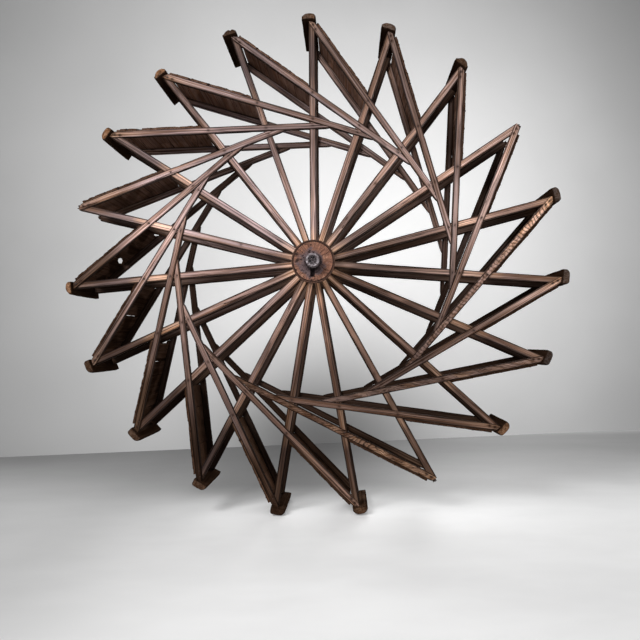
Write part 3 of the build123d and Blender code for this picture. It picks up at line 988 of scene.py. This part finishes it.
def makeHub(s):
    # Face cracks run outwards from the axle: depth falls off with the distance r (turn - crack)
    # from each one's wandering line. The wedge slot is cut in the front face only.
    around = onceRound(s["around"])[None, :]
    flat = np.linspace(s["faceStart"], hubRadius - s["rounding"], s["faceRings"])
    flat = np.concatenate([s["innerRings"], flat])
    bend = np.linspace(0, math.pi / 2, s["bendRings"] + 1)[1:]
    endRadius = np.concatenate([flat, hubRadius - s["rounding"] * (1 - np.sin(bend))])
    endDepth = np.concatenate([0 * flat + hubHalf, hubHalf - s["rounding"] * (1 - np.cos(bend))])
    barrel = np.linspace(0.006 - hubHalf, hubHalf - 0.006, s["barrelRings"])
    radius = np.concatenate([endRadius, 0 * barrel + hubRadius, endRadius[::-1]])[:, None]
    depth = np.concatenate([-endDepth, barrel, endDepth[::-1]])[:, None]
    side = np.concatenate([0 * endRadius - 1, 0 * barrel, 0 * endRadius + 1])[:, None]
    onFace = (np.abs(side) > 0.5) * (radius < hubRadius - 0.0005)
    roughness = ripples(s["seed"], 0.014, radius * np.cos(around), radius * np.sin(around), 0.3 * side)
    cut = 0.0006 * (1 + roughness)
    crackDark = 0.0
    rng = np.random.default_rng(s["seed"] + 1)
    for face in (front, rear):
        for k in range(s["cracks"]):
            middle = 2 * math.pi * (k + rng.uniform(-0.35, 0.35)) / s["cracks"]
            inner, outer = rng.uniform(*s["crackStart"]), rng.uniform(*s["crackEnd"])
            wander = 0.0010 * np.sin(radius / 0.004 + rng.uniform(0, 6))
            off = (around - middle + math.pi) % (2 * math.pi) - math.pi
            width = 0.0006 + 0.0005 * rng.uniform(0, 1)
            line = np.exp(-((radius * off + wander) / width) ** 2)
            line = line * hump(radius, inner, outer, 0.004) * (side == face)
            strength = rng.uniform(0.15, 0.8)
            cut = cut + strength * s["crackDepth"] * line
            crackDark = np.maximum(crackDark, strength * line)
    half, low, high, deep = s["slot"]
    out = radius * np.cos(around - s["slotTurn"])
    off = radius * np.sin(around - s["slotTurn"])
    slot = hump(out, low, high, 0.0012) * hump(off, -half, half, 0.0012) * (side == front)
    cut = (cut * (1 - slot) + deep * slot) * onFace
    depth = depth - np.sign(depth) * cut
    hollows = ripples(s["seed"] + 2, 0.03, 0.06 * np.cos(around), 0.06 * np.sin(around), 0.3 * depth)
    grow = radius - 0.0008 * (1 + hollows) * (np.abs(side) < 0.5)
    x, z = grow * np.sin(around), grow * np.cos(around)
    marks = {
        "grain": stacked(x + 0.002, z - 0.003, depth),
        "polar": stacked(np.sin(around), np.cos(around), radius * 20),
        "wear": stacked(np.clip(crackDark + slot, 0, 1) * onFace, side == 0, 0.0),
    }
    return carried(stacked(axle.x + x, depth, axle.z + z), marks, poles=True)


def hubWood(s):
    # End grain stained by rust. The mark "polar" is sine and cosine of the turn and 20 times the
    # radius, so noise on it runs in rays. The mark "wear" gives crack and barrel.
    material, tree, shader, _ = startMaterial("hubWood")
    grain = readMark(tree, "grain")
    polar = readMark(tree, "polar")
    right, above, farOut = threeParts(tree, polar)
    crack, onBarrel, _ = threeParts(tree, readMark(tree, "wear"))
    radius = calc(tree, "DIVIDE", farOut, 20.0)
    rays = noiseOf(tree, polar, (26, 26, 1.6), 4.0, 0.62)
    fineRays = noiseOf(tree, polar, (90, 90, 3.0), 2.0, 0.6)
    patches = noiseOf(tree, grain, (42, 42, 42), 4.0, 0.6)
    crumbs = noiseOf(tree, grain, (330, 330, 60), 3.0, 0.6)
    mottle = noiseOf(tree, grain, (95, 95, 95), 4.0, 0.65)
    rings = calc(tree, "DIVIDE", calc(tree, "MULTIPLY_ADD", patches, 0.006, radius), s["ringWidth"])
    rings = calc(tree, "FRACT", rings)
    color = blendColor(tree, span(tree, rays, 0.36, 0.66), s["brown"], s["orange"])
    color = blendColor(tree, span(tree, patches, 0.56, 0.70), color, s["bright"])
    wide = calc(tree, "ADD", radius, swing(tree, patches, 0.060))
    purple = calc(tree, "MULTIPLY_ADD", right, 0.006, calc(tree, "MULTIPLY_ADD", above, 0.004, wide))
    color = blendColor(tree, span(tree, purple, 0.045, 0.033), color, s["stain"])
    lowerLeft = calc(tree, "MULTIPLY_ADD", above, 0.2, right)
    sooty = calc(tree, "MULTIPLY_ADD", lowerLeft, 0.045, mottle)
    color = blendColor(tree, times(tree, span(tree, sooty, 0.44, 0.36), 0.9), color, s["soot"])
    blackRing = calc(tree, "ADD", radius, swing(tree, patches, 0.030))
    blackRing = calc(tree, "MULTIPLY_ADD", above, 0.0040, blackRing)
    color = blendColor(tree, span(tree, blackRing, 0.034, 0.020), color, s["black"])
    color = blendColor(tree, span(tree, radius, 0.0575, 0.0605), color, s["rim"])
    barrel = blendColor(tree, span(tree, noiseOf(tree, grain, (60, 60, 4)), 0.3, 0.7), s["barrel"], s["rim"])
    color = blendColor(tree, onBarrel, color, barrel)
    shade = times(tree, span(tree, fineRays, 0.3, 0.7, 0.72, 1.18), span(tree, crumbs, 0.3, 0.7, 0.8, 1.15),
                  span(tree, rings, 0.0, 1.0, 1.08, 0.86))
    tint = addNode(tree, "VectorMath", {0: color, "Scale": shade}, operation="SCALE").outputs[0]
    color = blendColor(tree, times(tree, crack, 0.9), tint, s["black"])
    height = calc(tree, "MULTIPLY_ADD", fineRays, 0.8, crumbs)
    rough = span(tree, crumbs, 0.2, 0.8, 0.85, 0.62)
    dress(tree, shader, color, rough, height, s["gloss"])
    return material


hubLooks = {
    "brown": (0.165, 0.082, 0.058), "orange": (0.36, 0.166, 0.106), "bright": (0.50, 0.270, 0.182),
    "soot": (0.028, 0.016, 0.014), "stain": (0.160, 0.110, 0.112), "black": (0.018, 0.012, 0.013),
    "rim": (0.026, 0.013, 0.010), "barrel": (0.120, 0.072, 0.052), "ringWidth": 0.0042, "gloss": 0.12,
}
joined("hub", [makeHub(hubSettings)], hubWood(hubLooks), ["hub"], sharp=55)


# Hoops and gudgeons.
hoopLow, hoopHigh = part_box("front_hub_hoop")
hoopSettings = {
    "inner": hubRadius + 0.0002, "outer": (hoopHigh.z - hoopLow.z) / 2, "width": hoopHigh.y - hoopLow.y,
    "corner": 0.0009, "rust": 0.00035, "around": 220, "seed": 9000,
}
gudgeonSettings = {
    "radius": 0.021, "length": 0.040, "edge": 0.0028, "cup": 0.0150, "cupDepth": 0.0080,
    "darkCup": 0.0135, "pitting": 0.0009, "lumps": 0.0065, "lip": 0.0007, "around": 110, "seed": 9100,
}


def makeHoop(side, s):
    # A flat band: depth and radius go round its section, drawn in by rust on the outside, and the
    # section is carried round the axle, x = radius sin(angle) and z = radius cos(angle).
    p, q, nx, ny = roundedLoop(10, 2, 3)
    corner, thickness = s["corner"], s["outer"] - s["inner"]
    middle = hubHalf - s["width"] / 2
    depth = p * (s["width"] / 2 - corner) + nx * corner
    angle = onceRound(s["around"])[:, None]
    x, z = np.sin(angle), np.cos(angle)
    rust = s["rust"] * (1 + ripples(s["seed"] + side, 0.012, 0.06 * z, 0.06 * x, depth)) * (ny > 0)
    radius = s["inner"] + thickness / 2 + q * (thickness / 2 - corner) + ny * corner - rust
    points = stacked(axle.x + radius * x, side * (middle + depth), axle.z + radius * z)
    m, n = points.shape[:2]
    quads = ringQuads(m + 1, n) % (m * n)
    verts = points.reshape(-1, 3)
    if volumeOf(verts - verts.mean(0), quads) < 0:
        quads = quads[:, ::-1]
    return {"verts": verts, "quads": quads, "tris": np.zeros((0, 3), int), "marks": {}}


def makeGudgeon(side, s):
    # Turned outline: journal, worn edge, lip and cup, carried round the axle. Rust eats into it,
    # and lumps of scale stand in the cup.
    seed = s["seed"] + side
    r, edge, cup = s["radius"], s["edge"], s["cup"]
    tip = hubHalf + s["length"]
    floor = tip - s["cupDepth"]
    bend = np.linspace(0, math.pi / 2, 6)
    outline = (  # radii and depths
        ([0.010, r], [hubHalf - 0.004, hubHalf - 0.004]),
        (np.full(14, r), np.linspace(hubHalf - 0.003, tip - edge - 0.001, 14)),
        (r - edge * (1 - np.cos(bend)), tip - edge * (1 - np.sin(bend))),
        (np.linspace(r - edge - 0.0006, cup, 4), np.full(4, tip)),
        (np.linspace(cup - 0.0006, cup - 0.0022, 7), np.linspace(tip - 0.0008, floor, 7)),
        (np.linspace(cup - 0.0035, 0.0015, 10), np.full(10, floor)),
    )
    radius, depth = [np.concatenate(row)[:, None] for row in zip(*outline)]
    angle = onceRound(s["around"])[None, :]
    x, z = np.sin(angle), np.cos(angle)
    pitting = 0.5 + 0.5 * ripples(seed, 0.006, radius * x, radius * z, side * depth)
    worn = radius - s["pitting"] * pitting
    x, z = worn * x, worn * z
    inCup = ramp(-radius, -cup, 0.003 - cup) * (depth > hubHalf)
    lumps = s["lumps"] * np.maximum(0, ripples(seed + 50, 0.009, x, z)) * inCup
    lip = s["lip"] * (1 + ripples(seed + 60, 0.008, x, z)) * ramp(depth, tip - 0.004, tip) * (1 - inCup)
    hollow = ramp(-radius, -s["darkCup"], 0.003 - s["darkCup"]) * (depth > hubHalf)
    points = stacked(axle.x + x, side * (depth + lumps - lip), axle.z + z)
    return carried(points, {"hollow": stacked(hollow, 0.0, 0.0)}, poles=True)


for side, word in bothSides:
    parts = [makeHoop(side, hoopSettings)]
    joined(word + "HubHoop", parts, hoopIron, [word + "_hub_hoop"])
    parts = [makeGudgeon(side, gudgeonSettings)]
    joined(word + "Gudgeon", parts, pinIron, [word + "_gudgeon"], sharp=60)


# Nails. The last edge of a board is measured at "edgeHeight" off its bar's middle line.
nailSettings = {
    "head": 0.0033, "boardHead": 0.0034, "rise": 0.0013, "sink": 0.003, "around": 12,
    "barSink": 0.0012, "boardSink": 0.0004, "edgeHeight": 0.0147, "seed": 9300, "boardSeed": 9900,
}


def makeNail(place, outDirection, sideDirection, size, s, seed):
    # A low dome: radius = size cos(a), height = rise sin(a), a little squared and tilted.
    rng = np.random.default_rng(seed)
    a = np.linspace(0, math.pi / 2, 4)[:-1]
    radius = np.concatenate([[size * 0.5], [size * 0.5], size * np.cos(a)])[:, None]
    height = np.concatenate([[-s["sink"]], [-0.0002], s["rise"] * np.sin(a)])[:, None]
    angle = onceRound(s["around"])[None, :]
    squared = 1 - 0.10 * np.cos(4 * angle + rng.uniform(0, 6)) + 0.08 * np.cos(2 * angle + rng.uniform(0, 6))
    u = radius * squared * np.cos(angle)
    v = radius * squared * np.sin(angle)
    height = height + rng.uniform(-0.12, 0.12) * u + rng.uniform(-0.12, 0.12) * v
    out, across = np.array(outDirection), np.array(sideDirection)
    other = np.cross(out, across)
    points = np.array(place) + u[..., None] * across + v[..., None] * other + height[..., None] * out
    return carried(points, {}, poles=True)


def makeBarNails(side, s):
    # One nail at each spoke that a bar crosses, and two at its tip.
    parts = []
    for tip in allTips:
        for index, (along, outward) in enumerate(barNails(barSettings)):
            seed = s["seed"] + 40 * tip + index
            rng = np.random.default_rng(seed + 3 * index + side)
            jitter = rng.normal(0, 0.0014, 2)
            across, up = onBar(along + jitter[0], outward + jitter[1])
            place = inWheel(across, up, side * (faceDepth - s["barSink"]), tipTurn(tip))
            size = s["head"] * rng.uniform(0.8, 1.15)
            parts.append(makeNail(place, (0, side, 0), (1, 0, 0), size, s, seed))
    return parts


def boardNailParts(tip, s):
    # Two nails through each plank into each bar, with heads on the board's outer face.
    parts = []
    turn = tipTurn(tip)
    out = (math.sin(lean + turn), 0, math.cos(lean + turn))
    edges = [boardStart(tip, boardSettings), *boardSeams(tip, boardSettings)]
    edges.append(boardFinish(s["edgeHeight"], boardSettings))
    for index, (low, high) in enumerate(zip(edges, edges[1:])):
        seed = s["boardSeed"] + 20 * tip + 4 * index
        for share, side in ((0.25, front), (0.25, rear), (0.75, front), (0.75, rear)):
            along, depth = np.array(low + share * (high - low)), np.array(side * barMiddle)
            thin = float(boardThinning(along, depth, tip, boardSettings)) + s["boardSink"]
            top = boardSettings["barWidth"] / 2 + boardSettings["thickness"] - thin
            place = inWheel(*onBar(along, top), depth, turn)
            parts.append(makeNail(place, out, (0, 1, 0), s["boardHead"], s, seed))
    return parts


for side, word in bothSides:
    joined(word + "BarNails", makeBarNails(side, nailSettings), nailIron)
boardNails = [part for tip in allTips for part in boardNailParts(tip, nailSettings)]
joined("boardNails", boardNails, nailIron)
print("wheel made")


# Camera, at the photograph's place.
cameraSettings = {
    "place": (0.10554, -2.29692, -0.24894),  # from the axle, with the first spoke upright
    "forward": (-0.03936, 0.99868, 0.03311),
    "lean": math.radians(0.4951) + wheel["standTurn"],  # turn of the camera about the axle
    "focalPixels": 714,
    "picturePixels": 640,
    "sensor": 36.0,
    "clip": (0.05, 60.0),
}


def makeCamera(s):
    data = bpy.data.cameras.new("photoCamera")
    data.sensor_width = s["sensor"]
    data.lens = s["focalPixels"] / s["picturePixels"] * s["sensor"]
    data.clip_start, data.clip_end = s["clip"]
    camera = addObject("photoCamera", data)
    forward = Vector(s["forward"]).normalized()
    right = forward.cross(Vector((0, 0, 1))).normalized()
    face = Matrix((right, right.cross(forward), -forward)).transposed().to_4x4()
    around = Matrix.Rotation(s["lean"], 4, "Y")
    camera.matrix_world = Matrix.Translation(axle) @ around @ Matrix.Translation(s["place"]) @ face
    bpy.context.scene.camera = camera


makeCamera(cameraSettings)

# Floor and wall.
stageSettings = {
    "wallDistance": 1.46, "wallTurn": math.radians(-12), "half": 9.0,
    "wallColor": 0.95, "floorColor": 0.78, "wallGlow": 0.38, "floorGlow": 0.22,
    # Painted pool of light: where the wall is brightest, how far that reaches, and the least shade beyond.
    "brightest": (0.35, 0.85), "reach": (1.2, 1.3), "least": 0.12,
    # Painted shadow: a soft dark patch on the wall's foot and the floor behind the wheel: place and
    # size across, height on the wall, where it starts on the floor and is full, and its depth on both.
    "paintedShadow": {
        "across": (-0.05, 0.62), "high": 0.45, "floor": (-0.15, 0.40), "wallDepth": 0.74, "floorDepth": 0.82,
    },
    # Painted shade on the floor: where it starts to darken leftwards, where it is darkest, and that shade.
    "leftFloor": (-0.15, -0.75, 0.58),
    # Painted shade on the floor: where it starts to darken backwards, where the wall is, and the shade there.
    "backShade": (-0.20, 1.35, 0.36),
    "beyond": (1.6, 2.2),  # where the floor behind the wall starts to be pale again, and is
}


def addPlane(name, corners, material):
    mesh = bpy.data.meshes.new(name)
    mesh.from_pydata(corners, [], [(0, 1, 2, 3)])
    mesh.materials.append(material)
    plane = addObject(name, mesh)
    return plane


def seenByCamera(tree):
    # 1 for what the camera sees, straight or in a reflection.
    path = addNode(tree, "LightPath").outputs
    return calc(tree, "MAXIMUM", path["Is Camera Ray"], path["Is Glossy Ray"])


def paleGlow(tree, shader, level, strength):
    # The surface, made a little paler where the camera sees it, so that no more light is needed.
    color = addNode(tree, "CombineXYZ", {0: level, 1: level, 2: level}).outputs[0]
    tree.links.new(color, shader.inputs["Base Color"])
    glow = addNode(tree, "Emission", {0: color, 1: times(tree, seenByCamera(tree), strength)})
    return addNode(tree, "AddShader", {0: shader.outputs[0], 1: glow.outputs[0]}).outputs[0]


def bell(tree, value, middle, size):
    # e to -((value - middle) / size)^2
    share = calc(tree, "DIVIDE", calc(tree, "SUBTRACT", value, middle), size)
    return calc(tree, "EXPONENT", times(tree, share, share, -1.0))


def withPaintedShadow(tree, level, across, other, s, depth):
    # level x (1 - depth x patch): a painted shadow, where the patch is a bell across times `other`.
    patch = calc(tree, "MULTIPLY", bell(tree, across, *s["across"]), other)
    return calc(tree, "MULTIPLY", level, calc(tree, "MULTIPLY_ADD", patch, -depth, 1.0))


def paleFloor(s):
    # A pale level with soft clouds, times painted shade backwards, painted shade leftwards and the painted
    # shadow behind the wheel.
    material, tree, shader, output = startMaterial("paleFloor")
    place = addNode(tree, "TexCoord").outputs["Object"]
    clouds = noiseOf(tree, place, (1.3, 2.2, 1), 4.0, 0.55)
    level = span(tree, clouds, 0.3, 0.7, s["floorColor"] * 0.93, s["floorColor"] * 1.05)
    x, backwards, _ = threeParts(tree, place)
    before = span(tree, backwards, *s["beyond"], 1.0, 0.0)
    backShade, wallAt, shadeThere = s["backShade"]
    shade = span(tree, backwards, backShade, wallAt, 0.0, shadeThere - 1)
    start, darkest, leftShade = s["leftFloor"]
    level = times(tree, level, calc(tree, "MULTIPLY_ADD", shade, before, 1.0),
                  span(tree, x, darkest, start, leftShade, 1.0))
    paintedShadow = calc(tree, "MULTIPLY", before, span(tree, backwards, *s["paintedShadow"]["floor"]))
    level = withPaintedShadow(tree, level, x, paintedShadow, s["paintedShadow"], s["paintedShadow"]["floorDepth"])
    tree.links.new(paleGlow(tree, shader, level, s["floorGlow"]), output.inputs[0])
    shader.inputs["Roughness"].default_value = 0.55
    shader.inputs["Specular IOR Level"].default_value = 0.2
    return material


def paleWall(s):
    # A pale level with a painted pool of light that falls off from its brightest place as a bell both
    # ways, and a painted shadow at its foot. Seen from its back the wall is clear, so that the wheel
    # can be looked at from behind.
    material, tree, shader, output = startMaterial("paleWall")
    place = addNode(tree, "TexCoord").outputs["Object"]
    clouds = noiseOf(tree, place, (0.8, 0.8, 0.9), 3.0, 0.5)
    x, _, z = threeParts(tree, place)
    sideways = bell(tree, x, s["brightest"][0], s["reach"][0] * math.sqrt(2))
    upwards = bell(tree, z, s["brightest"][1], s["reach"][1] * math.sqrt(2))
    fall = calc(tree, "MULTIPLY_ADD", times(tree, sideways, upwards), 1 - s["least"], s["least"])
    level = times(tree, span(tree, clouds, 0.3, 0.7, s["wallColor"] * 0.94, s["wallColor"] * 1.06), fall)
    # Painted shadow on the wall's foot.
    foot = bell(tree, z, 0.0, s["paintedShadow"]["high"])
    level = withPaintedShadow(tree, level, x, foot, s["paintedShadow"], s["paintedShadow"]["wallDepth"])
    clear = addNode(tree, "BsdfTransparent")
    behind = addNode(tree, "NewGeometry").outputs["Backfacing"]
    pale = paleGlow(tree, shader, level, s["wallGlow"])
    chosen = addNode(tree, "MixShader", {0: behind, 1: pale, 2: clear.outputs[0]})
    tree.links.new(chosen.outputs[0], output.inputs[0])
    shader.inputs["Roughness"].default_value = 0.9
    shader.inputs["Specular IOR Level"].default_value = 0.1
    return material


def makeStage(s):
    h = s["half"]
    addPlane("floor", [(-h, -h, 0), (h, -h, 0), (h, h, 0), (-h, h, 0)], paleFloor(s))
    right, back = h * math.cos(s["wallTurn"]), h * math.sin(s["wallTurn"])
    leftEnd, rightEnd = (-right, s["wallDistance"] + back), (right, s["wallDistance"] - back)
    wall = addPlane("wall", [(*leftEnd, 0), (*rightEnd, 0), (*rightEnd, h), (*leftEnd, h)], paleWall(s))
    wall.visible_shadow = False


makeStage(stageSettings)

# Light: a broad lamp in front and to the left, a weaker one to the right, and one behind.
lightSettings = {
    "key": {"place": (-1.7, -2.6, 2.4), "size": 1.4, "power": 105},
    "fill": {"place": (2.4, -3.0, 1.0), "size": 2.2, "power": 26},
    "back": {"place": (0.6, 3.4, 1.7), "size": 2.2, "power": 60},
    "aim": (0, 0, 0.75),
    "world": 0.22,
    "pale": 0.72,
}


def makeLamp(name, aim, s):
    data = bpy.data.lights.new(name, "AREA")
    data.shape = "DISK"
    data.size = s["size"]
    data.energy = s["power"]
    lamp = addObject(name, data)
    lamp.location = s["place"]
    lamp.rotation_mode = "QUATERNION"
    lamp.rotation_quaternion = (Vector(aim) - Vector(s["place"])).to_track_quat("-Z", "Y")
    lamp.visible_camera = False


for lampName in ("key", "fill", "back"):
    makeLamp(lampName + "Lamp", lightSettings["aim"], lightSettings[lampName])


def makeWorld(s):
    # Soft light all round, and a paler grey where the camera or a reflection sees past the wall.
    world = bpy.data.worlds.new("studio")
    bpy.context.scene.world = world
    world.use_nodes = True
    tree = world.node_tree
    tree.nodes.clear()
    dim = addNode(tree, "Background", {0: paint((1, 1, 1)), 1: s["world"]})
    pale = addNode(tree, "Background", {0: paint((s["pale"],) * 3), 1: 1.0})
    mixed = addNode(tree, "MixShader", {0: seenByCamera(tree), 1: dim.outputs[0], 2: pale.outputs[0]})
    addNode(tree, "OutputWorld", {0: mixed.outputs[0]})


makeWorld(lightSettings)
bpy.context.scene.view_settings.view_transform = "Standard"
print("stage and light made")
